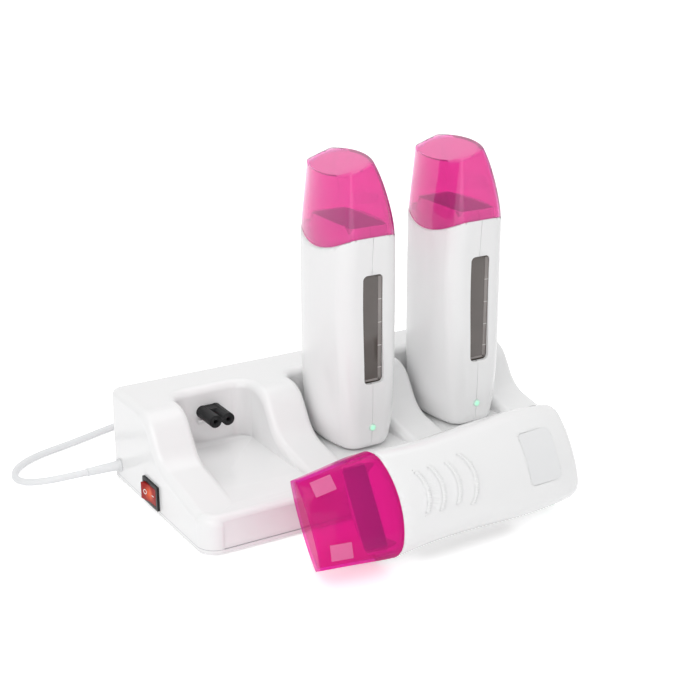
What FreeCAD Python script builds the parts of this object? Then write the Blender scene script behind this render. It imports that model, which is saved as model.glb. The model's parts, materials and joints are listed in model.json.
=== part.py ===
"""Three-bay roll-on wax heater: a mains base with three hand-held cartridge heaters.

The origin is on the floor under the middle of the base: X runs along the base to the
right, Y to its back and Z up. Each heater is drawn once, in a frame of its own (X to
its gripped face, Y to its inlet side, Z from its foot to its cap), and placed three times.
"""
import FreeCAD, Part
import math
import os
from types import SimpleNamespace

import Sketcher

# ---------------------------------------------------------------- driving sizes, in mm
SIZES = {
    # base
    "base_length": 260.0, "base_depth": 134.0, "base_height": 58.7,
    "bottom_level": 3.6, "foot_height": 1.2, "foot_radius": 6.5, "base_wall": 2.5,
    "corner_round": 7.0, "shelf_level": 23.1, "shelf_round": 6.0, "top_round": 5.0,
    "front_round": 11.5, "bay_width": 50.0, "bay_back": 35.5, "bay_round": 10.0,
    "crest_y": 11.1, "crest_round": 20.0,
    "valley_y": -5.9, "valley_rise": 9.4, "valley_round": 22.0, "tail_angle": 11.0,
    "panel_inset": 0.6,
    # plug connector standing out of each bay's back wall
    "connector_level": 42.8, "pin_pitch": 8.6, "barrel_radius": 4.0, "connector_reach": 19.0,
    "pin_radius": 1.2, "cradle_reach": 3.5,
    # rocker switch in the left end
    "switch_length": 21.0, "switch_height": 15.0, "switch_y": 5.2, "switch_level": 11.7,
    "rocker_length": 16.4, "rocker_height": 10.4, "rocker_tilt": 9.0, "bezel_rise": 1.6,
    # mains cord
    "gland_y": 54.0, "gland_level": 11.0, "boot_length": 20.4, "cord_diameter": 4.4,
    "coil_x": -46.0, "coil_y": 106.0, "coil_middle": 52.8, "plug_turn": 12.0,
    # hand-held heater
    "heater_y": -2.2, "heater_thick": 44.4, "heater_width": 60.0, "waist": 2.0,
    "foot_round": 8.0, "side_round": 70.0, "grip_corner": 12.0,
    "rim_level": 135.0, "rim_dip": 9.0, "plateau": 140.0, "heater_wall": 2.2, "seam_gap": 0.2,
    "well_x": 1.0, "well_thick": 24.0, "well_width": 46.0, "well_floor": 30.0, "well_wall": 1.0,
    "window_bottom": 44.0, "window_top": 111.5, "window_width": 13.6, "window_x": 0.8,
    "lamp_level": 15.5, "lamp_radius": 2.2, "inlet_face": 28.7, "inlet_depth": 10.7,
    # cap
    "cap_wall": 1.8, "cap_level": 174.8, "cap_slant": 18.5, "cap_middle": -5.3,
    # fits and poses
    "clearance": 0.3, "lying_x": 84.0, "lying_y": -104.0, "lying_tilt": 61.0, "lying_turn": 3.5,
}

doc = FreeCAD.newDocument("RollOnWaxHeater")
sheet = doc.addObject("Spreadsheet::Sheet", "Sizes")
for row, (alias, number) in enumerate(SIZES.items(), start=1):
    sheet.set(f"A{row}", alias)
    sheet.set(f"B{row}", str(number))
    sheet.setAlias(f"B{row}", alias)
doc.recompute()


class Size:
    """A length or angle that knows both its value now and its expression on the sheet."""

    def __init__(self, text, value):
        self.text = text
        self.value = value

    def __add__(self, other):
        other = as_size(other)
        return Size(f"({self.text} + {other.text})", self.value + other.value)

    def __sub__(self, other):
        other = as_size(other)
        return Size(f"({self.text} - {other.text})", self.value - other.value)

    def __mul__(self, other):
        other = as_size(other)
        return Size(f"({self.text} * {other.text})", self.value * other.value)

    def __truediv__(self, other):
        other = as_size(other)
        return Size(f"({self.text} / {other.text})", self.value / other.value)

    def __neg__(self):
        return Size(f"(0 - {self.text})", -self.value)

    def __radd__(self, other):
        return as_size(other) + self

    def __rsub__(self, other):
        return as_size(other) - self

    def __rmul__(self, other):
        return as_size(other) * self

    def __rtruediv__(self, other):
        return as_size(other) / self


def as_size(thing):
    return thing if isinstance(thing, Size) else Size(str(thing), float(thing))


def sine(angle):
    return Size(f"sin({angle.text})", math.sin(math.radians(angle.value)))


def cosine(angle):
    return Size(f"cos({angle.text})", math.cos(math.radians(angle.value)))


def root(square):
    return Size(f"sqrt({square.text})", math.sqrt(square.value))


S = SimpleNamespace(**{alias: Size(f"Sizes.{alias}", float(sheet.get(alias))) for alias in SIZES})
ZERO = as_size(0)
NODES = []  # (object, node name) in the order in which the files are written


# ---------------------------------------------------------------- helpers
def bind(thing, **sizes):
    """Binds properties to sizes; a double underscore in a name stands for a dot."""
    for path, amount in sizes.items():
        thing.setExpression(path.replace("__", "."), as_size(amount).text)
    return thing


def seat(thing, x=0, y=0, z=0):
    return bind(thing, Placement__Base__x=x, Placement__Base__y=y, Placement__Base__z=z)


def block(name, x, y, z):
    """A box given by its two ends on each axis."""
    ends = [[as_size(end) for end in pair] for pair in (x, y, z)]
    box = doc.addObject("Part::Box", name)
    bind(box, Length=ends[0][1] - ends[0][0], Width=ends[1][1] - ends[1][0], Height=ends[2][1] - ends[2][0])
    return seat(box, ends[0][0], ends[1][0], ends[2][0])


TURNS = {"X": FreeCAD.Rotation(FreeCAD.Vector(0, 1, 0), 90),
         "Y": FreeCAD.Rotation(FreeCAD.Vector(1, 0, 0), -90),
         "Z": FreeCAD.Rotation()}


def rod(name, axis, radius, length, x=0, y=0, z=0):
    """A cylinder that starts at a point and runs along +X, +Y or +Z."""
    cylinder = bind(doc.addObject("Part::Cylinder", name), Radius=radius, Height=length)
    cylinder.Placement = FreeCAD.Placement(FreeCAD.Vector(), TURNS[axis])
    return seat(cylinder, x, y, z)


def cone(name, axis, radii, length, x=0, y=0, z=0):
    """A frustum that starts at a point and runs along +X, +Y or +Z."""
    frustum = bind(doc.addObject("Part::Cone", name), Radius1=radii[0], Radius2=radii[1], Height=length)
    frustum.Placement = FreeCAD.Placement(FreeCAD.Vector(), TURNS[axis])
    return seat(frustum, x, y, z)


def fuse(name, *parts):
    union = doc.addObject("Part::MultiFuse", name)
    union.Shapes = list(parts)
    union.Refine = True
    return union


def common(name, *parts):
    shared = doc.addObject("Part::MultiCommon", name)
    shared.Shapes = list(parts)
    return shared


def cut(name, base, *tools):
    rest = doc.addObject("Part::Cut", name)
    rest.Base = base
    rest.Tool = tools[0] if len(tools) == 1 else fuse(f"{name}_tools", *tools)
    return rest


def group(name, *parts):
    """Several separate solids that make one node."""
    compound = doc.addObject("Part::Compound", name)
    compound.Links = list(parts)
    return compound


def link(name, source, x=0, y=0, z=0):
    twin = doc.addObject("App::Link", name)
    twin.LinkedObject = source
    return seat(twin, x, y, z)


def copies(name, source, places):
    """One compound of a source object moved by each of several (x, y, z) steps."""
    pattern = group(f"{name}_pattern", source)
    return group(name, *[link(f"{name}_{i}", pattern, *place) for i, place in enumerate(places, start=1)])


def node(thing, label):
    thing.Label = label
    NODES.append((thing, label))
    return thing


def plane(body, role):
    return next(feature for feature in body.Origin.OriginFeatures if feature.Role == role)


def new_body(name):
    return doc.addObject("PartDesign::Body", name)


def new_sketch(body, name, role, level=0):
    """A sketch on an origin plane of its body, lifted along that plane's normal."""
    sketch = body.newObject("Sketcher::SketchObject", name)
    sketch.AttachmentSupport = [(plane(body, role), "")]
    sketch.MapMode = "FlatFace"
    sketch.setExpression("AttachmentOffset.Base.z", as_size(level).text)
    return sketch


def dimension(sketch, kind, places, amount):
    """One driving dimension, drawn at its size now and bound to its expression."""
    amount = as_size(amount)
    index = sketch.addConstraint(Sketcher.Constraint(kind, *places, amount.value))
    sketch.setExpression(f"Constraints[{index}]", amount.text)


def polygon(body, name, role, outlines, level=0):
    """Closed outlines of straight lines, each through its own (u, v) corners."""
    sketch = new_sketch(body, name, role, level)
    for outline in outlines:
        corners = [(as_size(u), as_size(v)) for u, v in outline]
        points = [FreeCAD.Vector(u.value, v.value, 0) for u, v in corners]
        sides = [sketch.addGeometry(Part.LineSegment(start, end)) for start, end in zip(points, points[1:] + points[:1])]
        for side, following in zip(sides, sides[1:] + sides[:1]):
            sketch.addConstraint(Sketcher.Constraint("Coincident", side, 2, following, 1))
        for side, (u, v) in zip(sides, corners):
            dimension(sketch, "DistanceX", (-1, 1, side, 1), u)
            dimension(sketch, "DistanceY", (-1, 1, side, 1), v)
    return sketch


def oval(body, name, level, near, far, half, side, corner):
    """A heater's cross-section: two bowed wide sides, two flat narrow sides, round corners.

    near and far are its reach to -X and +X, half its reach to -Y and +Y, side the radius
    of the bowed sides and corner that of the corners.
    """
    sketch = new_sketch(body, name, "XY_Plane", level)
    near, far, half, side, corner = (as_size(amount) for amount in (near, far, half, side, corner))
    near_centre = side - near
    far_centre = far - side
    run = math.sqrt((side.value - corner.value) ** 2 - (half.value - corner.value) ** 2)
    left = near_centre.value - run
    right = far_centre.value + run
    rise = half.value - corner.value
    lean = math.asin(rise / (side.value - corner.value))

    def arc(x, y, radius, start, end):
        circle = Part.Circle(FreeCAD.Vector(x, y, 0), FreeCAD.Vector(0, 0, 1), radius)
        return Part.ArcOfCircle(circle, start, end)

    def line(x0, x1, y):
        return Part.LineSegment(FreeCAD.Vector(x0, y, 0), FreeCAD.Vector(x1, y, 0))

    quarter = math.pi / 2
    # counter-clockwise from the front flat: line, corner, far side, corner, line, corner, near side, corner
    sketch.addGeometry([
        line(left, right, -half.value),
        arc(right, -rise, corner.value, -quarter, -lean),
        arc(far_centre.value, 0, side.value, -lean, lean),
        arc(right, rise, corner.value, lean, quarter),
        line(right, left, half.value),
        arc(left, rise, corner.value, quarter, math.pi - lean),
        arc(near_centre.value, 0, side.value, math.pi - lean, math.pi + lean),
        arc(left, -rise, corner.value, math.pi + lean, 3 * quarter),
    ])
    for i in range(8):
        sketch.addConstraint(Sketcher.Constraint("Tangent", i, 2, (i + 1) % 8, 1))
    for i in (0, 4):
        sketch.addConstraint(Sketcher.Constraint("Horizontal", i))
    for i in (3, 5, 7):
        sketch.addConstraint(Sketcher.Constraint("Equal", 1, i))
    for i in (2, 6):
        sketch.addConstraint(Sketcher.Constraint("PointOnObject", i, 3, -1))
        dimension(sketch, "Radius", (i,), side)
    dimension(sketch, "Radius", (1,), corner)
    dimension(sketch, "DistanceX", (-1, 1, 2, 3), far_centre)
    dimension(sketch, "DistanceX", (-1, 1, 6, 3), near_centre)
    dimension(sketch, "DistanceY", (-1, 1, 0, 1), -half)
    dimension(sketch, "DistanceY", (-1, 1, 4, 1), half)
    return sketch


def pad(body, sketch, length, symmetric=False):
    feature = body.newObject("PartDesign::Pad", f"{sketch.Name}_pad")
    feature.Profile = sketch
    if symmetric:
        feature.SideType = "Symmetric"
    bind(feature, Length=length)
    return feature


def loft(body, sketches, ruled=False):
    feature = body.newObject("PartDesign::AdditiveLoft", f"{body.Name}_loft")
    feature.Profile = sketches[0]
    feature.Sections = sketches[1:]
    feature.Ruled = ruled
    return feature


def fillet(body, radius, wanted):
    """Rounds the edges of the body's tip that the given test picks out."""
    doc.recompute()
    base = body.Tip
    names = [f"Edge{i}" for i, edge in enumerate(base.Shape.Edges, start=1) if wanted(edge)]
    feature = body.newObject("PartDesign::Fillet", f"{base.Name}_round")
    feature.Base = (base, names)
    bind(feature, Radius=radius)
    return feature


def upright(edge):
    bound = edge.BoundBox
    return bound.XLength < 0.01 and bound.YLength < 0.01


def near(a, b):
    return abs(a - b) < 0.05


def along_x(y, z):
    """A test for the edges that run along X at the given y and z."""
    def wanted(edge):
        bound = edge.BoundBox
        return (bound.XLength > 1 and near(bound.YMin, y) and near(bound.YMax, y)
                and near(bound.ZMin, z) and near(bound.ZMax, z))
    return wanted


# ---------------------------------------------------------------- base housing
half_length = S.base_length / 2
half_depth = S.base_depth / 2
half_bay = S.bay_width / 2
bay_pitch = (S.base_length + S.bay_width) / 4  # three bays between four equal cheeks
bay_centres = [-bay_pitch, ZERO, bay_pitch]
valley_level = S.shelf_level + S.valley_rise
slope = (S.base_height - valley_level) / (S.crest_y - S.valley_y)
slope_cosine = 1 / root(1 + slope * slope)
slope_sine = slope * slope_cosine
tail_slope = sine(S.tail_angle) / cosine(S.tail_angle)
tail_y = -half_depth + S.front_round + 0.5


def saddle(name, inset):
    """The base's upper block: it falls from the back block to the shelf in an S, and three
    bays are cut into it from the front. inset offsets every wall inwards."""
    body = new_body(name)
    top = S.base_height - inset
    crest = S.crest_y + inset * (1 - slope_cosine) / slope_sine
    valley = S.valley_y + inset * (1 / slope_cosine - 1 / cosine(S.tail_angle)) / (slope - tail_slope)
    valley_z = valley_level - (S.valley_y - valley) * tail_slope - inset / cosine(S.tail_angle)
    end_z = valley_z - (valley - tail_y) * tail_slope
    back = half_depth - inset
    outline = [(back, S.bottom_level), (back, top), (crest, top), (valley, valley_z),
               (tail_y, end_z), (tail_y, S.bottom_level)]
    pad(body, polygon(body, f"{name}_outline", "YZ_Plane", [outline]), S.base_length - 2 * inset, symmetric=True)
    fillet(body, S.crest_round - inset, along_x(crest.value, top.value))
    fillet(body, S.valley_round + inset, along_x(valley.value, valley_z.value))

    bay_back = S.bay_back + inset
    bay_half = half_bay + inset
    plans = [[(x - bay_half, -half_depth - 9), (x + bay_half, -half_depth - 9), (x + bay_half, bay_back),
              (x - bay_half, bay_back)] for x in bay_centres]
    floor = S.shelf_level - inset if inset.value else S.bottom_level
    bays = body.newObject("PartDesign::Pocket", f"{name}_bays")
    bays.Profile = polygon(body, f"{name}_plan", "XY_Plane", plans, floor)
    bays.Reversed = True
    bind(bays, Length=S.base_height)
    fillet(body, S.bay_round + inset, lambda edge: upright(edge) and near(edge.BoundBox.YMax, bay_back.value))
    fillet(body, S.corner_round - inset, lambda edge: upright(edge) and near(edge.BoundBox.YMax, back.value))
    return body


def saddle_rim(edge):
    """The saddle's upper edges: its S-shaped sides, the bays' edges and the back edge."""
    bound = edge.BoundBox
    top = near(bound.ZMin, S.base_height.value)
    if upright(edge) or near(bound.ZMax, S.bottom_level.value):
        return False
    if bound.XLength < 0.01:
        return True
    on_back = near(bound.YMin, half_depth.value) or near(bound.YMin, S.bay_back.value)
    return top and (on_back or bound.YLength > 1)


outer_saddle = saddle("saddle", ZERO)
fillet(outer_saddle, S.top_round, saddle_rim)
inner_saddle = saddle("hollow", S.base_wall)


def slab(name, inset, bottom, top):
    """A plate over the base's footprint, with larger round corners at the front."""
    body = new_body(name)
    x, y = half_length - inset, half_depth - inset
    outline = [(-x, -y), (x, -y), (x, y), (-x, y)]
    pad(body, polygon(body, f"{name}_outline", "XY_Plane", [outline], bottom), top - bottom)
    fillet(body, S.front_round - inset, lambda edge: upright(edge) and edge.BoundBox.YMax < 0)
    fillet(body, S.corner_round - inset, lambda edge: upright(edge) and near(edge.BoundBox.YMax, y.value))
    return body


shelf = slab("shelf", ZERO, S.bottom_level, S.shelf_level)
fillet(shelf, S.shelf_round, lambda edge: near(edge.BoundBox.ZMin, S.shelf_level.value))
hollow_shelf = slab("hollow_shelf", S.base_wall, S.bottom_level, S.shelf_level - S.base_wall)

cradle_top = S.connector_level - S.barrel_radius - 0.1
cradle = block("cradle", (-S.pin_pitch, S.pin_pitch), (S.bay_back - S.cradle_reach, S.bay_back + 1),
               (cradle_top - 2.2, cradle_top))
boss_x = half_length - 15
boss_y = half_depth - 13
boss_places = [(sx * boss_x, sy * boss_y, 0) for sy in (-1, 1) for sx in (-1, 1)]
front_boss = rod("front_boss", "Z", 3.6, S.shelf_level - S.bottom_level - 1, z=S.bottom_level)
rear_boss = rod("rear_boss", "Z", 3.6, S.base_height - S.bottom_level - 1, z=S.bottom_level)
front_bosses = copies("front_bosses", front_boss, boss_places[:2])
rear_bosses = copies("rear_bosses", rear_boss, boss_places[2:])
boss_hole = rod("boss_hole", "Z", 1.3, 11, z=S.bottom_level - 1)
boss_holes = copies("boss_holes", boss_hole, boss_places)


def figure_eight(name, radius, web, y0, y1, z):
    """Two barrels side by side along X, joined by a web, running along Y."""
    barrels = [rod(f"{name}_barrel_{i}", "Y", radius, y1 - y0, x=side * S.pin_pitch / 2, y=y0, z=z)
               for i, side in enumerate((-1, 1), start=1)]
    bridge = block(f"{name}_web", (-S.pin_pitch / 2, S.pin_pitch / 2), (y0, y1), (z - web, z + web))
    return fuse(name, *barrels, bridge)


passage = figure_eight("connector_hole", S.barrel_radius + 0.1, S.barrel_radius - 0.3,
                       S.bay_back - 1, S.bay_back + S.base_wall + 1, S.connector_level)
left_end = -half_length
switch_hole = block("switch_hole", (left_end - 1, left_end + 5),
                    (S.switch_y - S.switch_length / 2 + 1, S.switch_y + S.switch_length / 2 - 1),
                    (S.switch_level - S.switch_height / 2 + 1, S.switch_level + S.switch_height / 2 - 1))
gland_hole = rod("gland_hole", "X", 3.4, 6, x=left_end - 1, y=S.gland_y, z=S.gland_level)
front_panel = block("front_panel", (-half_length + S.front_round, half_length - S.front_round),
                    (-half_depth - 1, -half_depth + S.panel_inset), (S.bottom_level - 1, S.shelf_level))

outer = fuse("housing_outside", outer_saddle, shelf, copies("cradles", cradle, [(x, 0, 0) for x in bay_centres]))
hollow = fuse("housing_inside", inner_saddle, hollow_shelf)
housing_shell = cut("housing_shell", outer, hollow)
housing_blank = fuse("housing_blank", housing_shell, front_bosses, rear_bosses)
housing = cut("housing", housing_blank, boss_holes, copies("passages", passage, [(x, 0, 0) for x in bay_centres]),
              switch_hole, gland_hole, front_panel)
node(housing, "base_housing")

# ---------------------------------------------------------------- bottom plate, feet and screws
plate = slab("plate", ZERO, S.foot_height, S.bottom_level)
head_radius, head_height, shank_radius = 2.8, 1.2, 1.2
head_hole = rod("head_hole", "Z", head_radius + 0.1, head_height + 1, z=S.foot_height - 1)
shank_hole = rod("shank_hole", "Z", shank_radius + 0.1, S.bottom_level, z=S.foot_height)
screw_hole = fuse("screw_hole", head_hole, shank_hole)
node(cut("bottom", plate, copies("screw_holes", screw_hole, boss_places)), "base_bottom")
screw = fuse("screw", rod("screw_head", "Z", head_radius, head_height, z=S.foot_height),
             rod("screw_shank", "Z", shank_radius, 10, z=S.foot_height + head_height - 0.1))
node(copies("screws", screw, boss_places), "base_screws")
foot = rod("foot", "Z", S.foot_radius, S.foot_height)
foot_places = [(0, 0, 0)] + [(sx * (half_length - 36), sy * boss_y, 0) for sx in (-1, 1) for sy in (-1, 1)]
node(copies("feet", foot, foot_places), "base_feet")

# ---------------------------------------------------------------- plug connectors and their board
connector_tip = S.bay_back - S.connector_reach
board_y = S.bay_back + S.base_wall + 9
nose = figure_eight("connector_nose", S.barrel_radius, S.barrel_radius * 0.3,
                    connector_tip, S.bay_back - 7, S.connector_level)
neck = figure_eight("connector_neck", S.barrel_radius, S.barrel_radius - 0.4,
                    S.bay_back - 7, board_y, S.connector_level)
flange = block("connector_flange", (-S.pin_pitch - 2, S.pin_pitch + 2),
               (S.bay_back + S.base_wall + 0.1, board_y), (S.connector_level - 6, S.connector_level + 6))
contacts = [rod(f"contact_{i}", "Y", S.pin_radius + 0.15, S.inlet_depth, x=side * S.pin_pitch / 2,
                y=connector_tip - 0.1, z=S.connector_level) for i, side in enumerate((-1, 1), start=1)]
connector = cut("connector", fuse("connector_body", nose, neck, flange), *contacts)
for number, x in enumerate(bay_centres, start=1):
    node(link(f"bay_connector_{number}", connector, x=x), f"bay_connector_{number}")
node(block("board", (-bay_pitch - 20, bay_pitch + 20), (board_y, board_y + 1.6),
           (S.connector_level - 6.5, S.connector_level + 6.5)), "power_board")
node(block("terminals", (left_end + 26, left_end + 50), (half_depth - 24, half_depth - 12),
           (S.bottom_level, S.bottom_level + 12)), "terminal_block")

# ---------------------------------------------------------------- rocker switch
bezel_face = left_end - S.bezel_rise
pivot_x = left_end - 0.4
frame = block("bezel_frame", (bezel_face, left_end),
              (S.switch_y - S.switch_length / 2, S.switch_y + S.switch_length / 2),
              (S.switch_level - S.switch_height / 2, S.switch_level + S.switch_height / 2))
body_block = block("bezel_body", (left_end, left_end + 14),
                   (S.switch_y - S.switch_length / 2 + 1.1, S.switch_y + S.switch_length / 2 - 1.1),
                   (S.switch_level - S.switch_height / 2 + 1.1, S.switch_level + S.switch_height / 2 - 1.1))
rocker_gap = 0.25
half_rocker = S.rocker_length / 2
mouth = block("bezel_mouth", (bezel_face - 1, left_end + 5),
              (S.switch_y - half_rocker - rocker_gap, S.switch_y + half_rocker + rocker_gap),
              (S.switch_level - S.rocker_height / 2 - rocker_gap, S.switch_level + S.rocker_height / 2 + rocker_gap))
trunnion_length = S.rocker_height + 2
trunnion_hole = rod("trunnion_hole", "Z", 1.1, trunnion_length + 0.6, x=pivot_x, y=S.switch_y,
                    z=S.switch_level - trunnion_length / 2 - 0.3)
node(cut("bezel", fuse("bezel_solid", frame, body_block), mouth, trunnion_hole), "switch_bezel")

rocker_body = new_body("rocker_key")
key_end = half_rocker * 0.97
key_sketch = polygon(rocker_body, "rocker_outline", "XY_Plane",
                     [[(-2.4, key_end), (-1.5, 0), (-2.4, -key_end), (1.9, -key_end * 0.86), (1.9, key_end * 0.86)]],
                     -S.rocker_height / 2)
pad(rocker_body, key_sketch, S.rocker_height)
rocker_round = rod("rocker_round", "Z", half_rocker, S.rocker_height + 4, z=-S.rocker_height / 2 - 2)
trunnion = rod("trunnion", "Z", 0.9, trunnion_length, z=-trunnion_length / 2)
rocker = fuse("rocker", common("rocker_ends", rocker_body, rocker_round), trunnion)
rocker.Placement = FreeCAD.Placement(FreeCAD.Vector(), FreeCAD.Rotation(FreeCAD.Vector(0, 0, 1), 1))
bind(rocker, Placement__Rotation__Angle=S.rocker_tilt)
node(seat(rocker, pivot_x, S.switch_y, S.switch_level), "switch_rocker")

# ---------------------------------------------------------------- heater, in its own frame
half_thick = S.heater_thick / 2
half_width = S.heater_width / 2
belly_thick = half_thick + 0.9
waist_thick = half_thick + 1.8


def heater_form(name, inset, bottom):
    """The heater's outer form, or the same form with every face moved inwards by inset."""
    body = new_body(name)
    turn = S.foot_round - inset
    profile = []
    for angle in (0, 30, 60, 90):  # up the foot's round edge
        level = bottom + turn * (1 - math.cos(math.radians(angle)))
        back = turn * (1 - math.sin(math.radians(angle)))
        profile.append((level, half_thick - 2 - back, half_width - 1.1 - back, S.grip_corner - back))
    profile += [(level, half_thick + thicker, half_width + wider, S.grip_corner) for level, thicker, wider in (
        (14, -1, -0.7), (25, 0.1, -0.2), (43, 0.9, 0), (64, 1.4, -0.8), (85, 1.8, -S.waist + 0.2),
        (104, 1.8, -S.waist), (S.rim_level - 11, 1.3, -1.1), (S.rim_level + 11, 0.1, 0.3))]
    sections = [oval(body, f"{name}_{i}", level, thick - inset, thick - inset, half - inset,
                     S.side_round - inset, corner - inset)
                for i, (level, thick, half, corner) in enumerate(profile, start=1)]
    loft(body, sections)
    return body


def collar(name, inset, bottom, top):
    """The neck that the cap fits over, drawn in to a flat top around the well."""
    body = new_body(name)
    lower = oval(body, f"{name}_1", bottom, half_thick - 2.6 - inset, half_thick - 2.4 - inset,
                 half_width - 2.6 - inset, S.side_round - inset, S.grip_corner - 3 - inset)
    upper = oval(body, f"{name}_2", top, half_thick - 7.7 - inset, half_thick - 5.7 - inset,
                 half_width - 4.4 - inset, S.side_round - inset, 3.2 - inset)
    loft(body, [lower, upper])
    return body


def round_block(name, x, y, z, corner, axis="Z"):
    """A block whose four edges along the given axis are rounded."""
    (x0, x1), (y0, y1), (z0, z1) = [[as_size(end) for end in pair] for pair in (x, y, z)]
    body = new_body(name)
    if axis == "Z":
        outline = [(x0, y0), (x1, y0), (x1, y1), (x0, y1)]
        pad(body, polygon(body, f"{name}_outline", "XY_Plane", [outline], z0), z1 - z0)
        fillet(body, corner, upright)
    elif axis == "X":
        outline = [(y0, z0), (y1, z0), (y1, z1), (y0, z1)]
        pad(body, polygon(body, f"{name}_outline", "YZ_Plane", [outline], x0), x1 - x0)
        fillet(body, corner, lambda edge: edge.BoundBox.XLength > 0.01)
    else:
        outline = [(x0, z0), (x1, z0), (x1, z1), (x0, z1)]
        pad(body, polygon(body, f"{name}_outline", "XZ_Plane", [outline], -y1), y1 - y0)
        fillet(body, corner, lambda edge: edge.BoundBox.YLength > 0.01)
    return body


rim_half = half_width + 0.3
rim_radius = (rim_half * rim_half + S.rim_dip * S.rim_dip) / (2 * S.rim_dip)
rim_centre = S.rim_level - S.rim_dip + rim_radius


def rim_cutter(name, inset):
    """The round hollow along X that the body's rim and the cap's edge both follow."""
    return rod(name, "X", rim_radius - inset, S.base_depth, x=-half_depth, z=rim_centre)


deck = S.plateau - 2.4
well_x0 = S.well_x - S.well_thick / 2
well_x1 = S.well_x + S.well_thick / 2
half_well = S.well_width / 2
outside = fuse("heater_outside", cut("heater_skin", heater_form("form", ZERO, 0), rim_cutter("rim", 0)),
               collar("neck", ZERO, S.rim_level - 13, S.plateau))
above_core = block("above_core", (-60, 60), (-60, 60), (S.rim_level - 14, S.rim_level + 20))
inside = fuse("heater_inside", cut("core_low", heater_form("core", S.heater_wall, 2.5), above_core),
              collar("throat", S.heater_wall - 0.4, S.rim_level - 14.5, deck))
well_fit = 0.15
well_hole = round_block("well_hole", (well_x0 - S.well_wall - well_fit, well_x1 + S.well_wall + well_fit),
                        (-half_well - S.well_wall - well_fit, half_well + S.well_wall + well_fit),
                        (S.rim_level - 16, S.plateau + 1), 3.2)

window_half = S.window_width / 2
window_hole = round_block("window_hole", (S.window_x - window_half, S.window_x + window_half), (-40, -half_width + 5),
                          (S.window_bottom, S.window_top), 3, "Y")
lamp_reach = rod("lamp_reach", "Y", S.lamp_radius + 0.1, 10, y=-half_width - 4, z=S.lamp_level)
inlet_level = S.connector_level - S.shelf_level - S.clearance
inlet_half, inlet_rise = 10.5, 6.3
inlet_back = S.inlet_face - S.inlet_depth - 2
inlet_hole = block("inlet_hole", (-inlet_half - 0.1, inlet_half + 0.1), (inlet_back, 40),
                   (inlet_level - inlet_rise - 0.1, inlet_level + inlet_rise + 0.1))

# the gripped face: a shallow place for the rating plate and four crescent ridges
label_low, label_high, label_half = 18, 41, 15.6
far_bow = half_thick + 0.7 - S.side_round
label_place = round_block("label_place", (half_thick - 4, half_thick + 4), (-label_half, label_half),
                          (label_low, label_high), 3, "X")
label_floor = rod("label_floor", "Z", S.side_round - 0.8, 60, x=far_bow)
label_recess = cut("label_recess", label_place, label_floor)


def ridge(name, level, length):
    """A crescent, thickest on its lower side, standing a little out of the gripped face."""
    bend, thickness = 20, 2.6
    lower = rod(f"{name}_lower", "X", bend, 5, x=waist_thick - 3, z=level + bend)
    upper = rod(f"{name}_upper", "X", bend, 6, x=waist_thick - 3.5, z=level + bend + thickness)
    ends = block(f"{name}_ends", (waist_thick - 4, waist_thick + 3), (-length / 2, length / 2),
                 (level - 1, level + bend))
    return common(name, cut(f"{name}_crescent", lower, upper), ends)


ridge_levels = [(78, 29), (90, 24), (101, 25), (111, 23)]
ridge_prisms = fuse("ridge_prisms", *[ridge(f"ridge_{i}", level, length)
                                     for i, (level, length) in enumerate(ridge_levels, start=1)])
ridge_top = rod("ridge_top", "Z", S.side_round + 0.9, S.plateau, x=waist_thick - S.side_round)
ridges = common("ridges", ridge_prisms, ridge_top)

# the two halves of the shell, with screw posts between them
screw_level, screw_side = 22, 10
split = S.seam_gap / 2


def pair_along_y(name, make):
    """The same thing at both shell screws."""
    return copies(name, make, [(0, -screw_side, 0), (0, screw_side, 0)])


posts = pair_along_y("posts", rod("post", "X", 3.2, 2 * half_thick - 4, x=-half_thick + 2, z=screw_level))
post_holes = pair_along_y("post_holes", fuse(
    "post_hole", rod("post_bore", "X", 1.35, half_thick + 20, x=-13, z=screw_level),
    rod("post_mouth", "X", 2.8, 20, x=half_thick - 6, z=screw_level)))
shell_blank = fuse("shell_blank", cut("shell_skin", outside, inside), posts)
shell_tools = fuse("shell_tools", well_hole, window_hole, lamp_reach, inlet_hole, label_recess, post_holes)
shell = cut("shell", shell_blank, shell_tools)
far_side = block("far_side", (split, 60), (-60, 60), (-10, 200))
near_side = block("near_side", (-60, -split), (-60, 60), (-10, 200))
shell_front = fuse("shell_front", common("shell_far_half", shell, far_side), ridges)
shell_back = common("shell_back", shell, near_side)

# ---------------------------------------------------------------- what the heater holds
well_top = S.plateau - 0.4
well_outside = round_block("well_outside", (well_x0 - S.well_wall, well_x1 + S.well_wall),
                           (-half_well - S.well_wall, half_well + S.well_wall),
                           (S.well_floor - S.well_wall, well_top), 3)
well_inside = round_block("well_inside", (well_x0, well_x1), (-half_well, half_well),
                          (S.well_floor, S.plateau + 1), 2)
well_slot = round_block("well_slot", (S.window_x - window_half, S.window_x + window_half),
                        (-half_width, -half_well + 4), (S.window_bottom, S.window_top), 3, "Y")
well = cut("well", well_outside, well_inside, well_slot)

plate_x = well_x1 + S.well_wall + 0.2
heater_plate = block("heater_plate", (plate_x, plate_x + 2.5), (-12, 12), (45, 95))
sensor_x = well_x0 - S.well_wall - 0.2
sensor = block("sensor", (sensor_x - 4, sensor_x), (-6, 6), (60, 80))
board = block("board", (-half_thick + 8.6, half_thick - 8.6), (-half_width + 8, half_width - 8), (7, 8.6))

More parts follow.
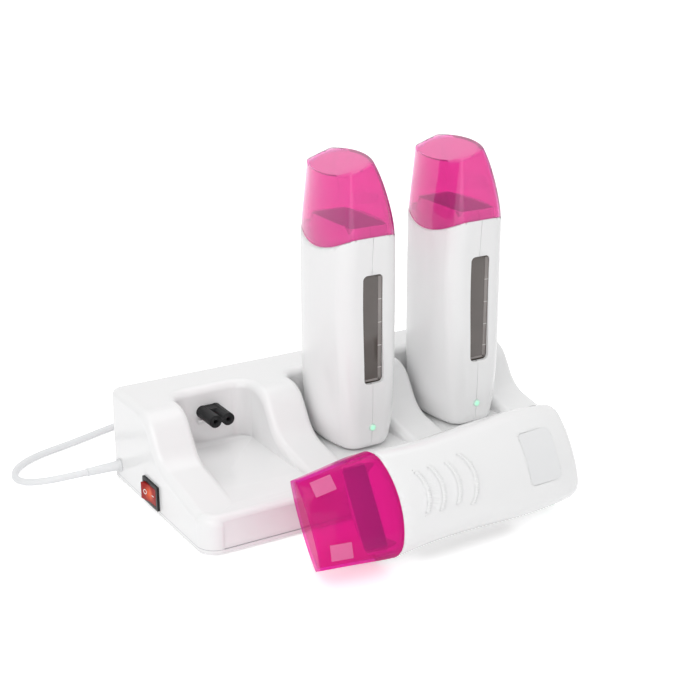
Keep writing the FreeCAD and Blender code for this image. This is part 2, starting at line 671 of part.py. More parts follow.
lens_front = half_width - 2.5
lens = round_block("lens", (S.window_x - window_half + 0.1, S.window_x + window_half - 0.1),
                   (-lens_front, -lens_front + 2.2), (S.window_bottom + 0.1, S.window_top - 0.1), 2.9, "Y")
lens_rim = round_block("lens_rim", (S.window_x - window_half - 1.2, S.window_x + window_half + 1.2),
                       (-lens_front + 1.9, -lens_front + 2.8), (S.window_bottom - 1.5, S.window_top + 1.5), 4, "Y")
window = fuse("window", lens, lens_rim)
lamp = fuse("lamp", rod("lamp_stem", "Y", S.lamp_radius, 4.5, y=-half_width - 0.3, z=S.lamp_level),
            rod("lamp_foot", "Y", S.lamp_radius + 0.8, 1, y=-half_width + 3.2, z=S.lamp_level))

inlet_block = block("inlet_block", (-inlet_half, inlet_half), (inlet_back, S.inlet_face),
                    (inlet_level - inlet_rise, inlet_level + inlet_rise))
socket_depth = S.inlet_face - S.inlet_depth
socket = figure_eight("socket", S.barrel_radius + 0.4, S.barrel_radius + 0.4, socket_depth,
                      S.inlet_face + 1, inlet_level)
pin_places = [(-S.pin_pitch / 2, 0, 0), (S.pin_pitch / 2, 0, 0)]
pin = rod("pin", "Y", S.pin_radius, 11, y=socket_depth - 2, z=inlet_level)
pins = copies("pins", pin, pin_places)
pin_seats = copies("pin_seats", pin, pin_places)
inlet = cut("inlet", inlet_block, socket, pin_seats)

label_blank = round_block("label_blank", (half_thick - 3, half_thick + 3), (-label_half + 0.3, label_half - 0.3),
                          (label_low + 0.3, label_high - 0.3), 2.7, "X")
rating_plate = cut("rating_plate", common("label_skin", label_blank, rod("label_top", "Z", S.side_round - 0.35, 60, x=far_bow)),
            rod("label_under", "Z", S.side_round - 0.75, 60, x=far_bow))
shell_screw = fuse("shell_screw", rod("shell_screw_head", "X", 2.5, 2, x=half_thick - 6, z=screw_level),
                   rod("shell_screw_shank", "X", 1.2, half_thick + 5, x=-11, z=screw_level))
shell_screws = pair_along_y("shell_screws", shell_screw)


# ---------------------------------------------------------------- cap
def cap_form(name, inset):
    """The cap's outside, or its inside: a loft cut off by a slanted top and a round edge."""
    body = new_body(name)
    profile = [  # level, reach to -X, to +X and to each side, bow of the wide sides, corner
        (S.rim_level - 11, half_thick, half_thick + 0.2, half_width + 0.1, 70, 12),
        (140, half_thick - 0.3, half_thick - 0.3, half_width - 0.6, 67, 10),
        (150, half_thick - 1.3, half_thick - 2.5, half_width - 1.8, 64, 8),
        (168, half_thick - 2.9, half_thick - 8.5, half_width - 4.0, 58, 4),
        (184, half_thick - 4.6, half_thick - 17.6, half_width - 6.0, 54, 2.5),
    ]
    loft(body, [oval(body, f"{name}_{i}", level, back - inset, front - inset, side - inset, bow - inset, corner - inset)
                for i, (level, back, front, side, bow, corner) in enumerate(profile, start=1)])
    reach = 60
    top = block(f"{name}_top", (0, 2 * reach), (-reach, reach), (0, reach))
    top.Placement = FreeCAD.Placement(FreeCAD.Vector(), FreeCAD.Rotation(FreeCAD.Vector(0, -1, 0), 1))
    bind(top, Placement__Rotation__Angle=S.cap_slant)
    seat(top, S.cap_middle - reach * cosine(S.cap_slant), -reach,
         S.cap_level - reach * sine(S.cap_slant) - inset / cosine(S.cap_slant))
    return cut(f"{name}_closed", body, top)


cap_blank = common("cap_blank", cap_form("cap_outside", ZERO), rim_cutter("cap_rim", S.clearance))
cap = cut("cap", cap_blank, cap_form("cap_inside", S.cap_wall))

# ---------------------------------------------------------------- mains cord and plug
cord_radius = S.cord_diameter / 2
boot_start = left_end - 1.6
strain_relief = fuse("relief", rod("relief_collar", "X", 3.3, 6, x=boot_start, y=S.gland_y, z=S.gland_level),
                     rod("relief_flange", "X", 4.1, 1.6, x=boot_start, y=S.gland_y, z=S.gland_level),
                     cone("relief_boot", "X", (2.5, 3.1), S.boot_length, x=boot_start - S.boot_length,
                          y=S.gland_y, z=S.gland_level),
                     rod("relief_nut", "X", 4.8, 2.4, x=left_end + S.base_wall + 0.1, y=S.gland_y, z=S.gland_level))
node(strain_relief, "strain_relief")

# route points from the boot's end to the coil, and from the coil to the plug
CORD_ROUTE = [(-152.0, 54, 11), (-165, 54, 11), (-178, 60, 8.6), (-186.5, 72.5, 5), (-187.5, 88, 2.7),
              (-180, 102.5, 2.4), (-164, 113, 2.4), (-137, 120.5, 2.4), (-106, 132, 2.4), (-80, 139.5, 2.4),
              (-57.5, 139, 2.4)]
TAIL_ROUTE = [(-34.5, 139, 11.2), (-17, 138.4, 10), (1, 136.2, 7.6), (19, 132.4, 7.2)]


def tube(name, route, radius):
    """A round cord along straight runs joined by arcs, each as large as its two runs allow."""
    points = [FreeCAD.Vector(*point) for point in route]
    edges = []
    start = points[0]
    for before, corner, after in zip(points, points[1:], points[2:]):
        reach = 0.45 * min((corner - before).Length, (after - corner).Length)
        back = (before - corner).normalize()
        ahead = (after - corner).normalize()
        half_turn = (math.pi - back.getAngle(ahead)) / 2
        bend = reach / math.tan(half_turn)
        print(f"{name}: a turn of {math.degrees(2 * half_turn):.0f} degrees has a radius of {bend:.1f} mm")
        entry = corner + back * reach
        leave = corner + ahead * reach
        middle = corner + (back + ahead).normalize() * (bend / math.cos(half_turn) - bend)
        edges.append(Part.LineSegment(start, entry).toShape())
        edges.append(Part.Arc(entry, middle, leave).toShape())
        start = leave
    edges.append(Part.LineSegment(start, points[-1]).toShape())
    path = Part.Wire(edges)
    section = Part.Wire(Part.makeCircle(radius, points[0], points[1] - points[0]))
    cord = doc.addObject("Part::Feature", name)
    cord.Shape = path.makePipeShell([section], True, False)
    print(f"{name}: {path.Length:.0f} mm long, {cord.Shape.Volume / path.Length / math.pi / radius ** 2:.4f} full")
    return cord


node(tube("cord", CORD_ROUTE, cord_radius.value), "mains_cord")
node(tube("tail", TAIL_ROUTE, cord_radius.value), "cord_tail")
coil_low = 0.2
coil_outer = S.coil_middle / 2 + 2 * S.cord_diameter
coil_at = {"x": S.coil_x, "y": S.coil_y}
coil_outside = rod("coil_outside", "Z", coil_outer, 3 * S.cord_diameter, z=coil_low, **coil_at)
coil_inside = rod("coil_inside", "Z", S.coil_middle / 2 - 2 * S.cord_diameter, 4 * S.cord_diameter, z=coil_low - 1,
                  **coil_at)
coil_step = rod("coil_step", "Z", coil_outer - S.cord_diameter, 2 * S.cord_diameter,
                z=coil_low + 2 * S.cord_diameter, **coil_at)
node(cut("coil", coil_outside, coil_inside, coil_step), "cord_coil")

# the two-pin plug, along X from the cord's end
plug_body = new_body("plug_body")
plug_rear, plug_shoulder, plug_face, plug_half, plug_thick = 18, 43, 53, 17.6, 13.4
plug_outline = [(plug_rear, -6.5), (plug_shoulder, -plug_half), (plug_face, -plug_half),
                (plug_face, plug_half), (plug_shoulder, plug_half), (plug_rear, 6.5)]
pad(plug_body, polygon(plug_body, "plug_outline", "XY_Plane", [plug_outline], -plug_thick / 2), plug_thick)
fillet(plug_body, 3, lambda edge: upright(edge) and edge.BoundBox.XMax < plug_face - 1)
fillet(plug_body, 2.2, lambda edge: not upright(edge) and edge.BoundBox.XMin < plug_face - 1
       and edge.BoundBox.ZLength < 0.01)
plug_boot = cone("plug_boot", "X", (2.7, 4.4), plug_rear + 1)
pin_root = rod("pin_root", "X", 1.6, 6, x=plug_face - 6)
plug_pin = fuse("plug_pin", rod("pin_shaft", "X", 2, 19, x=plug_face), pin_root)
plug_pins = copies("plug_pins_pair", plug_pin, [(0, -9.5, 0), (0, 9.5, 0)])
plug_holes = copies("plug_holes", pin_root, [(0, -9.5, 0), (0, 9.5, 0)])
plug = cut("plug", fuse("plug_solid", plug_body, plug_boot), plug_holes)
for thing, label in ((plug, "mains_plug"), (plug_pins, "plug_pins")):
    placed = doc.addObject("App::Link", f"{label}_placed")
    placed.LinkedObject = thing
    placed.Placement = FreeCAD.Placement(FreeCAD.Vector(), FreeCAD.Rotation(FreeCAD.Vector(0, 0, -1), 1))
    bind(placed, Placement__Rotation__Angle=S.plug_turn)
    node(seat(placed, *TAIL_ROUTE[-1]), label)

# ---------------------------------------------------------------- heaters in place
HEATER_PARTS = {
    "shell_front": shell_front, "shell_back": shell_back, "wax_well": well, "heater_plate": heater_plate,
    "thermostat": sensor, "circuit_board": board, "window": window, "lamp": lamp, "inlet": inlet,
    "inlet_pins": pins, "rating_plate": rating_plate, "shell_screws": shell_screws, "cap": cap,
}
# the lying heater rests on the round edge of one narrow side, tipped back, with its cap to the left
swell = 0.05  # how far the loft runs past its widest section
belly_bow = S.side_round - belly_thick
corner_y = half_width + swell - S.grip_corner
bow_run = root((S.side_round - S.grip_corner) * (S.side_round - S.grip_corner) - corner_y * corner_y)
corner_x = belly_bow - bow_run
lying_z = S.clearance + corner_y * sine(S.lying_tilt) - corner_x * cosine(S.lying_tilt) + S.grip_corner

for label, thing in HEATER_PARTS.items():
    whole = group(f"{label}_whole", thing)
    for number, x in ((2, bay_centres[1]), (3, bay_centres[2])):
        standing = link(f"{label}_{number}", whole, x, S.heater_y, S.shelf_level + S.clearance)
        node(standing, f"heater_{number}_{label}")
    lying = doc.addObject("App::Link", f"{label}_1")
    lying.LinkedObject = whole
    place = f"create(<<vector>>; {S.lying_x.text}; {S.lying_y.text}; {lying_z.text})"
    turn = f"create(<<rotation>>; {S.lying_turn.text} - 90; {S.lying_tilt.text} - 90; 90)"
    lying.setExpression("Placement", f"create(<<placement>>; {place}; {turn})")
    node(lying, f"heater_1_{label}")

# ---------------------------------------------------------------- checks and files
doc.recompute()
for thing in doc.Objects:
    if {"Invalid", "Error"} & set(thing.State):
        raise RuntimeError(f"{thing.Name} isn't built: {thing.State}")
os.makedirs("parts", exist_ok=True)
for thing, label in NODES:
    shape = Part.getShape(thing)
    if shape.isNull() or not shape.isValid():
        raise RuntimeError(f"{label} has no valid shape")
    shape.exportStep(f"parts/{label}.step")
print(len(NODES), "nodes written")
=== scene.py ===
# %% [markdown]
# # A roll-on wax heater
# A white mains base has three docking bays. Two hand-held heaters stand in it under clear
# pink caps, and a third lies in front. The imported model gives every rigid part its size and
# place. These cells add what a rigid model lacks: a flexible cord, finishes, soft shading,
# small marks and light.

# %% Load the frame
import bmesh
import bpy
import json
import math
from mathutils import Matrix, Vector


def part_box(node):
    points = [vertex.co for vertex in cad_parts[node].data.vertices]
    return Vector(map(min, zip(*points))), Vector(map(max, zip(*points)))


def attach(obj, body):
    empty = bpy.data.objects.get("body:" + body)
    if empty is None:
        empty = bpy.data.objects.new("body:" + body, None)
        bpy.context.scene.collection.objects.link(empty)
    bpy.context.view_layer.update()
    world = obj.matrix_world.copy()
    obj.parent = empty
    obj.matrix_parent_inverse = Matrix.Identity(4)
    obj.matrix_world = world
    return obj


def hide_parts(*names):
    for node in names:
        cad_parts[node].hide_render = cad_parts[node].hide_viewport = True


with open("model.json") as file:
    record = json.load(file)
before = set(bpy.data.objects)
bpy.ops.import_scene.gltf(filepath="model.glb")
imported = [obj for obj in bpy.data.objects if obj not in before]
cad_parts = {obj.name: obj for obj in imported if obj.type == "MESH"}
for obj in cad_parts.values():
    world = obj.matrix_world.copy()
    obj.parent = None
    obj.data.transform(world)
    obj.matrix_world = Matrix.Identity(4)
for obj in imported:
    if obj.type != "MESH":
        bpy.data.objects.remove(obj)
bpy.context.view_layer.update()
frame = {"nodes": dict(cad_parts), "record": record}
MM = 0.001

# %% [markdown]
# ## The camera
# A product shot is made with a long lens from some way off, so that upright edges stay nearly
# parallel. This one stands about a metre away, to the left of the base and a little above it.
# Its place is a plain point in the frame, and two angles say where it looks, which is easier
# to adjust than a target point. The Standard view shows each colour as it is written.

# %% The camera
TURN, DIP = math.radians(30.97), math.radians(19.79)
camera_data = bpy.data.cameras.new("camera")
camera_data.lens = 74.33
camera_data.sensor_width = 36
camera = bpy.data.objects.new("camera", camera_data)
bpy.context.collection.objects.link(camera)
camera.location = Vector((-428.8, -719.8, 380.5)) * MM
camera.rotation_euler = (math.pi / 2 - DIP, 0, -TURN)
bpy.context.scene.camera = camera
bpy.context.scene.view_settings.view_transform = "Standard"
print("camera at", tuple(round(c, 3) for c in camera.location))

# %% [markdown]
# ## The mains cord: its route
# A white round cord leaves the strain relief at the left end of the base, bends back round it
# and is wound up behind, with its plug beside the coil. A cord is one length of something
# flexible, so one smooth spline carries all of it: a few points listed where it runs free, and a
# loop that works out the points of the turns, as nobody places those by hand.

# %% The cord's route
CORD_THICK = 4.4 * MM
CORD_ROUTE = [(-152.0, 54, 11), (-165, 54, 11), (-178, 60, 8.6), (-186.5, 72.5, 5), (-187.5, 88, 2.7),
              (-180, 102.5, 2.4), (-164, 113, 2.4), (-137, 120.5, 2.4), (-106, 132, 2.4), (-80, 139.5, 2.4),
              (-57.5, 139, 2.4)]
TAIL_ROUTE = [(-34.5, 139, 11.2), (-17, 138.4, 10), (1, 136.2, 7.6), (19, 132.4, 7.2)]
COIL_CENTRE = (-46, 106)
COIL_OUTER, COIL_INNER, COIL_PITCH = 33.0, 19.8, 4.4
COIL_TURNS, LAYER_TURNS, CLIMB_TURNS = 7, 3, 0.25
LOWEST_LAYER = 2.4
POINTS_PER_TURN = 16


def coil_point(turns):
    """The cord's place after so many turns: in over the lowest layer, out over the next, then up."""
    second_layer = LAYER_TURNS + CLIMB_TURNS
    last_climb = second_layer + LAYER_TURNS
    if turns <= LAYER_TURNS:
        radius, layer = COIL_OUTER - COIL_PITCH * turns, 0
    elif turns <= second_layer:
        radius, layer = COIL_INNER, (turns - LAYER_TURNS) / CLIMB_TURNS
    elif turns <= last_climb:
        radius, layer = COIL_INNER + COIL_PITCH * (turns - second_layer), 1
    else:
        radius, layer = COIL_OUTER, 1 + min((turns - last_climb) / CLIMB_TURNS, 1)
    # The spline cuts the corners between its points, so they stand a little outside the circle.
    radius /= math.cos(math.pi / POINTS_PER_TURN)
    angle = math.pi / 2 - 2 * math.pi * turns
    return (COIL_CENTRE[0] + radius * math.cos(angle), COIL_CENTRE[1] + radius * math.sin(angle),
            LOWEST_LAYER + COIL_PITCH * layer)


turns_of_cord = [coil_point(step / POINTS_PER_TURN)
                 for step in range(COIL_TURNS * POINTS_PER_TURN + 1)]
cord_points = CORD_ROUTE + turns_of_cord + TAIL_ROUTE
print(len(cord_points), "points,", len(turns_of_cord), "of them in the coil")

# %% [markdown]
# ## The mains cord: its curve
# A curve with a round bevel is the plainest way to make a cord: its line can still be moved
# point by point afterwards. A NURBS spline of order three stays inside its points, so it never
# swings out between them as an interpolating spline would. The order is set after the points
# are added, because an empty spline forgets it. Each point's radius scales the bevel, and it
# also widens the curve's bounding box, so the radius holds the cord's real size and the bevel
# is a plain one.

# %% The cord as a curve
cord_curve = bpy.data.curves.new("mains_cord", "CURVE")
cord_curve.dimensions = "3D"
cord_curve.bevel_depth = 1.0
cord_curve.bevel_resolution = 5
cord_curve.resolution_u = 5
cord_curve.use_fill_caps = True
spline = cord_curve.splines.new("NURBS")
spline.points.add(len(cord_points) - 1)
for knot, (x, y, z) in zip(spline.points, cord_points):
    knot.co = (x * MM, y * MM, z * MM, 1)
    knot.radius = CORD_THICK / 2
spline.order_u = 3
spline.use_endpoint_u = True
cord = bpy.data.objects.new("mains_cord_run", cord_curve)
bpy.context.collection.objects.link(cord)
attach(cord, "base")
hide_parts("mains_cord", "cord_tail", "cord_coil")

# %% [markdown]
# ## Shader maths
# Every finish is a small network of nodes. Linking maths nodes one by one hides the sum that
# they stand for, so a small class wraps an output and lets it stand in a sum like a number.

# %% A class that writes shader maths as sums
class Wire:
    """One output of a shader node, which can stand in a sum like a number."""

    def __init__(self, paint, socket):
        self.paint = paint
        self.socket = socket

    def maths(self, operation, *values):
        return self.paint.node("ShaderNodeMath", {"operation": operation}, *values)

    def __add__(self, other):
        return self.maths("ADD", self, other)

    def __radd__(self, other):
        return self.maths("ADD", other, self)

    def __mul__(self, other):
        return self.maths("MULTIPLY", self, other)

    def __rmul__(self, other):
        return self.maths("MULTIPLY", other, self)


print("sums of shader values are ready")

# %% [markdown]
# ## A material in the making
# The second class holds a material while it is built. Fixed values go straight on its main
# shader. One method adds any node: its settings first, then what feeds its sockets. A Mix node
# keeps sockets for numbers, vectors and colours side by side under the same names, so those
# for colours are found by their number. Patterns read Object coordinates, so that they have
# the same size in millimetres on every part.

# %% A class that holds a material
MIX_MASK, MIX_FIRST, MIX_SECOND, MIX_RESULT = 0, 6, 7, 2


class Paint:
    """A material in the making: fixed values go on its shader, and node() adds everything else."""

    def __init__(self, name, **fixed):
        self.material = bpy.data.materials.new(name)
        self.material.use_nodes = True
        self.tree = self.material.node_tree
        self.shader = self.tree.nodes["Principled BSDF"]
        for socket, value in fixed.items():
            self.shader.inputs[socket.replace("_", " ")].default_value = value

    def node(self, kind, settings=None, *values, output=0, numbered=None, **named):
        """Adds a node, sets it up, then feeds its sockets in order, by number or by name."""
        made = self.tree.nodes.new(kind)
        for key, value in (settings or {}).items():
            setattr(made, key, value)
        fed = dict(enumerate(values)) | (numbered or {})
        fed |= {name.replace("_", " "): value for name, value in named.items()}
        for socket, value in fed.items():
            self.feed(made.inputs[socket], value)
        return Wire(self, made.outputs[output])

    def feed(self, socket, value):
        if isinstance(value, Wire):
            self.tree.links.new(value.socket, socket)
        else:
            socket.default_value = value

    def drive(self, socket, value):
        self.feed(self.shader.inputs[socket], value)

    def place(self):
        return self.node("ShaderNodeTexCoord", output="Object")

    def noise(self, scale, detail=2.0):
        return self.node("ShaderNodeTexNoise", None, Vector=self.place(), Scale=scale, Detail=detail)

    def mix(self, mask, first, second):
        """A colour between two, by a mask."""
        return self.node("ShaderNodeMix", {"data_type": "RGBA"}, output=MIX_RESULT,
                         numbered={MIX_MASK: mask, MIX_FIRST: first, MIX_SECOND: second})

    def grain(self, height, strength, distance):
        bump = self.node("ShaderNodeBump", None, Strength=strength, Distance=distance, Height=height)
        self.drive("Normal", bump)


print("materials can be written")

# %% [markdown]
# ## The floor
# A white object on a white ground needs a ground that the camera sees as white, or the object
# looks dirty. More light would burn out the object instead. So the floor glows a little, but
# only towards the camera and in what reflects or shows it: the Light Path node tells those
# rays apart. The glow is added to the light that falls on the floor, so a shadow still shows.

# %% The floor
FLOOR_GLOW, FLOOR_REACH = 0.5, 6


def grey(level):
    return (level, level, level, 1)


def seen_ray(tree):
    """A socket that is 1 for rays from the camera, from gloss and through clear things, else 0."""
    rays = tree.nodes.new("ShaderNodeLightPath").outputs
    found = rays["Is Camera Ray"]
    for kind in ("Is Glossy Ray", "Is Transmission Ray"):
        larger = tree.nodes.new("ShaderNodeMath")
        larger.operation = "MAXIMUM"
        tree.links.new(found, larger.inputs[0])
        tree.links.new(rays[kind], larger.inputs[1])
        found = larger.outputs[0]
    return found


floor_paint = Paint("studio_floor", Base_Color=(0.93, 0.93, 0.935, 1), Roughness=0.85,
                    Emission_Strength=1.0)
seen = Wire(floor_paint, seen_ray(floor_paint.tree))
floor_paint.drive("Emission Color", floor_paint.mix(seen, grey(0), grey(FLOOR_GLOW)))
floor_mesh = bpy.data.meshes.new("floor")
made = bmesh.new()
bmesh.ops.create_grid(made, x_segments=1, y_segments=1, size=FLOOR_REACH)
made.to_mesh(floor_mesh)
made.free()
floor_mesh.materials.append(floor_paint.material)
floor = bpy.data.objects.new("floor", floor_mesh)
bpy.context.collection.objects.link(floor)
print("the floor glows by", FLOOR_GLOW, "towards the camera")

# %% [markdown]
# ## The surroundings
# The world is a white studio. The camera, glossy faces and clear plastic see it at full white,
# and it lights the object with about six tenths of that, so the lamps can still draw the form.

# %% The world
AMBIENT = 0.62
world = bpy.data.worlds.new("studio")
bpy.context.scene.world = world
world.use_nodes = True
sky = world.node_tree
shown = sky.nodes.new("ShaderNodeMix")
shown.data_type = "RGBA"
shown.inputs[MIX_FIRST].default_value = grey(AMBIENT)
shown.inputs[MIX_SECOND].default_value = grey(1)
sky.links.new(seen_ray(sky), shown.inputs[MIX_MASK])
sky.links.new(shown.outputs[MIX_RESULT], sky.nodes["Background"].inputs["Color"])
print("ambient light", AMBIENT)

# %% [markdown]
# ## The lamps
# White plastic shows its form only through gentle changes of shade. One big soft lamp high on
# the left does most of the work, a wide one overhead keeps the tops bright, and a weak one in
# front opens the shadow under the lying heater. Big lamps give soft edges to the shadows and
# broad, calm reflections on glossy plastic.

# %% Lamps
def softbox(name, place, power, size, aim=(0, 0, 0.06)):
    """A square lamp that faces the object."""
    lamp = bpy.data.lights.new(name, "AREA")
    lamp.energy = power
    lamp.size = size
    holder = bpy.data.objects.new(name, lamp)
    bpy.context.collection.objects.link(holder)
    holder.location = place
    holder.rotation_euler = (Vector(aim) - Vector(place)).to_track_quat("-Z", "Y").to_euler()


softbox("key_lamp", (-1.0, -0.7, 1.1), power=5, size=0.9)
softbox("top_lamp", (0.2, 0.2, 1.5), power=4.5, size=1.2)
softbox("front_fill", (-0.75, -1.2, 0.4), power=2.3, size=0.9, aim=(-0.05, -0.06, 0.03))
print("three lamps")

# %% [markdown]
# ## Moulded plastic
# Every moulding has a skin that is never perfectly smooth: a faint orange peel from the mould,
# and a gloss that varies a little over a finger's breadth. One function gives both to a plain
# colour, so all the plastics belong together, and each keeps its own colour and gloss. A
# second one lets the colour drift a little as well.

# %% Plastics and metals
GLOSS_SCALE, PEEL_SCALE = 60, 900
PEEL_STRENGTH, PEEL_DEPTH = 0.06, 0.2 * MM


def moulded(name, colour, roughness, uneven=0.06, **more):
    """A moulding: an even colour under a skin that is never perfectly smooth."""
    paint = Paint(name, Base_Color=(*colour, 1), Roughness=roughness, **more)
    paint.drive("Roughness", paint.noise(GLOSS_SCALE) * uneven + (roughness - uneven / 2))
    paint.grain(paint.noise(PEEL_SCALE, 1.0), PEEL_STRENGTH, PEEL_DEPTH)
    return paint


def clouded(paint, colour, other, scale=25):
    """Lets a colour drift a little towards another over the surface."""
    paint.drive("Base Color", paint.mix(paint.noise(scale), (*colour, 1), (*other, 1)))
    return paint


FINISHES = {
    "white_plastic": clouded(moulded("white_plastic", (0.905, 0.906, 0.908), 0.24, Coat_Weight=0.2),
                             (0.9, 0.902, 0.905), (0.912, 0.912, 0.91)),
    "plate_white": moulded("plate_white", (0.84, 0.845, 0.85), 0.42),
    "black_plastic": clouded(moulded("black_plastic", (0.012, 0.012, 0.013), 0.45, 0.1,
                                     Specular_IOR_Level=0.25),
                             (0.009, 0.009, 0.01), (0.018, 0.018, 0.019), 120),
    "cord_white": moulded("cord_white", (0.84, 0.85, 0.86), 0.42),
    "foot_rubber": moulded("foot_rubber", (0.25, 0.25, 0.26), 0.7),
    "terminal_cream": moulded("terminal_cream", (0.78, 0.75, 0.65), 0.5),
    "board_green": moulded("board_green", (0.02, 0.16, 0.06), 0.4),
    "heater_ceramic": moulded("heater_ceramic", (0.75, 0.73, 0.66), 0.6),
    "bright_metal": moulded("bright_metal", (0.75, 0.75, 0.73), 0.25, Metallic=1.0),
    "well_aluminium": clouded(moulded("well_aluminium", (0.5, 0.48, 0.49), 0.5, 0.15, Metallic=0.35),
                              (0.44, 0.42, 0.43), (0.55, 0.53, 0.54), 90),
    "lamp_green": moulded("lamp_green", (0.5, 0.95, 0.72), 0.3),
    "smoke_window": clouded(moulded("smoke_window", (0.085, 0.07, 0.063), 0.16, Coat_Weight=0.5),
                            (0.07, 0.058, 0.052), (0.12, 0.1, 0.09), 45),
}
print(len(FINISHES), "moulded finishes")

# %% [markdown]
# ## The lit rocker
# The rocker is clear red plastic with a small lamp inside, so it is brightest over the lamp
# and darker towards its ends. A glow that falls off with the distance from its middle does
# this without a real lamp, which would be too small to render cleanly.

# %% Lit red plastic
ROCKER_MIDDLE = Vector((-130.4, 5.2, 11.7)) * MM
GLOW_FALL, GLOW_END, GLOW_BLEND = 180, 1.0, 0.2
LIT_RED, DARK_RED = (0.75, 0.16, 0.05, 1), (0.1, 0.002, 0.001, 1)


def distance_from(paint, spot):
    return paint.node("ShaderNodeVectorMath", {"operation": "DISTANCE"}, paint.place(), spot, output="Value")


rocker_paint = moulded("rocker_red", (0.24, 0.005, 0.003), 0.32, Specular_IOR_Level=0.15,
                       Emission_Strength=1.0)
away = distance_from(rocker_paint, ROCKER_MIDDLE) * GLOW_FALL
glow = away.maths("SMOOTH_MIN", away, GLOW_END, GLOW_BLEND)
rocker_paint.drive("Emission Color", rocker_paint.mix(glow, LIT_RED, DARK_RED))
FINISHES["rocker_red"] = rocker_paint
print("the rocker glows from its middle")

# %% [markdown]
# ## The clear pink caps
# The caps are thin walls of clear plastic with a pink tint. Light is tinted each time it goes
# through a wall, so a single wall looks pale, two look deep pink, and the white collar inside
# shows as a darker band. The top is seen nearly edge-on, where plastic mirrors the white
# studio, so it looks paler than the sides. All of this follows from a clear material with the
# right tint. The lying heater's cap has a deeper shade than the other two.

# %% Pink plastic
CAP_POLISH, TINT_SCALE = 0.06, 30
CAP_PEEL_SCALE, CAP_PEEL_STRENGTH = 500, 0.02


def cap_plastic(name, tint, deeper, clear, coat, bend):
    """Tinted plastic, nearly clear, whose tint drifts a little."""
    paint = Paint(name, Roughness=CAP_POLISH, IOR=bend, Transmission_Weight=clear, Coat_Weight=coat,
                  Coat_Roughness=CAP_POLISH)
    clouded(paint, tint, deeper, TINT_SCALE)
    paint.grain(paint.noise(CAP_PEEL_SCALE, 1.0), CAP_PEEL_STRENGTH, PEEL_DEPTH)
    return paint


FINISHES["pink_cap"] = cap_plastic("pink_cap", (0.94, 0.18, 0.57), (0.92, 0.14, 0.54), 0.8, 1.0, 1.12)
DEEP_PINK = cap_plastic("deep_pink_cap", (0.87, 0.025, 0.47), (0.84, 0.015, 0.43), 0.8, 0.3, 1.01)
print("pink plastic in two shades")

# %% [markdown]
# ## Dressing the rigid parts
# The rigid parts already have the right shape, but as loose triangles that catch the light one
# by one. Each is copied, its triangles are joined, and its faces are shaded smooth between the
# real edges. Weighted normals let the large faces lead, so a flat face stays flat right up to
# its rounded edge. The copies ride on the same bodies, so that every joint still moves them.
# The cord's three parts are left out, and its curve gets its finish here, while its plug and its strain
# relief are among the copies.

# %% Smooth copies of the rigid parts
SLOT_OF = {row["node"]: row["material_slot"] for row in frame["record"]["subparts"]}
BODY_OF = {node: body for body, nodes in frame["record"]["behaviour"]["bodies"].items() for node in nodes}
CORD_NODES = {"mains_cord", "cord_tail", "cord_coil"}
WELD = 0.004 * MM
PART_EDGE = math.radians(32)


def dressed(node):
    """A joined, smooth-shaded copy of a rigid part that takes its place."""
    mesh = frame["nodes"][node].data.copy()
    made = bmesh.new()
    made.from_mesh(mesh)
    bmesh.ops.remove_doubles(made, verts=made.verts, dist=WELD)
    made.to_mesh(mesh)
    made.free()
    mesh.shade_smooth()
    mesh.set_sharp_from_angle(angle=PART_EDGE)
    mesh.materials.clear()
    mesh.materials.append(FINISHES[SLOT_OF[node]].material)
    piece = bpy.data.objects.new(f"{node}_dressed", mesh)
    bpy.context.collection.objects.link(piece)
    piece.modifiers.new("even_shading", "WEIGHTED_NORMAL").keep_sharp = True
    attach(piece, BODY_OF[node])
    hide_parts(node)
    return piece


PIECES = {node: dressed(node) for node in sorted(frame["nodes"]) if node not in CORD_NODES}
PIECES["heater_1_cap"].data.materials[0] = DEEP_PINK.material
cord_curve.materials.append(FINISHES["cord_white"].material)
print(len(PIECES), "parts dressed")

# %% [markdown]
# ## Where the heaters are
# Small marks on a heater are drawn once, in the heater's own frame: X to its gripped face, Y
# to its back and Z up from its foot. A matrix then takes them to each heater's place. Two of
# the heaters stand, and the first lies tipped back on the round edge of one side.

# %% Places of the heaters
def moved(x, y, z):
    return Matrix.Translation(Vector((x, y, z)) * MM)


def turned(degrees, axis):
    return Matrix.Rotation(math.radians(degrees), 4, axis)


LYING_TILT, LYING_TURN = 61, 3.5
lying = turned(LYING_TURN - 90, "Z") @ turned(LYING_TILT - 90, "Y") @ turned(90, "X")
HEATER_AT = {1: moved(84, -104, 32.07) @ lying, 2: moved(0, -2.2, 23.4), 3: moved(77.5, -2.2, 23.4)}
for number, place in HEATER_AT.items():
    print("heater", number, "at", tuple(round(c, 3) for c in place.translation))

# %% [markdown]
# ## From a bmesh to a piece
# Each new piece starts as a bmesh and ends in the same way: it goes to its place, its faces
# are turned outwards, its soft edges are shaded smooth, and it gets a finish and the body
# that it rides on. Many of the small pieces are blocks with rounded edges, so those have
# a function too.

# %% Finishing a piece
SCENE_EDGE = math.radians(40)


def finished(name, made, place, body, finish):
    """Puts a bmesh in its place, turns its faces outwards and makes it ride on a body."""
    bmesh.ops.transform(made, matrix=place, verts=made.verts)
    bmesh.ops.recalc_face_normals(made, faces=made.faces)
    mesh = bpy.data.meshes.new(name)
    made.to_mesh(mesh)
    made.free()
    mesh.shade_smooth()
    mesh.set_sharp_from_angle(angle=SCENE_EDGE)
    mesh.materials.append(finish.material)
    piece = bpy.data.objects.new(name, mesh)
    bpy.context.collection.objects.link(piece)
    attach(piece, body)


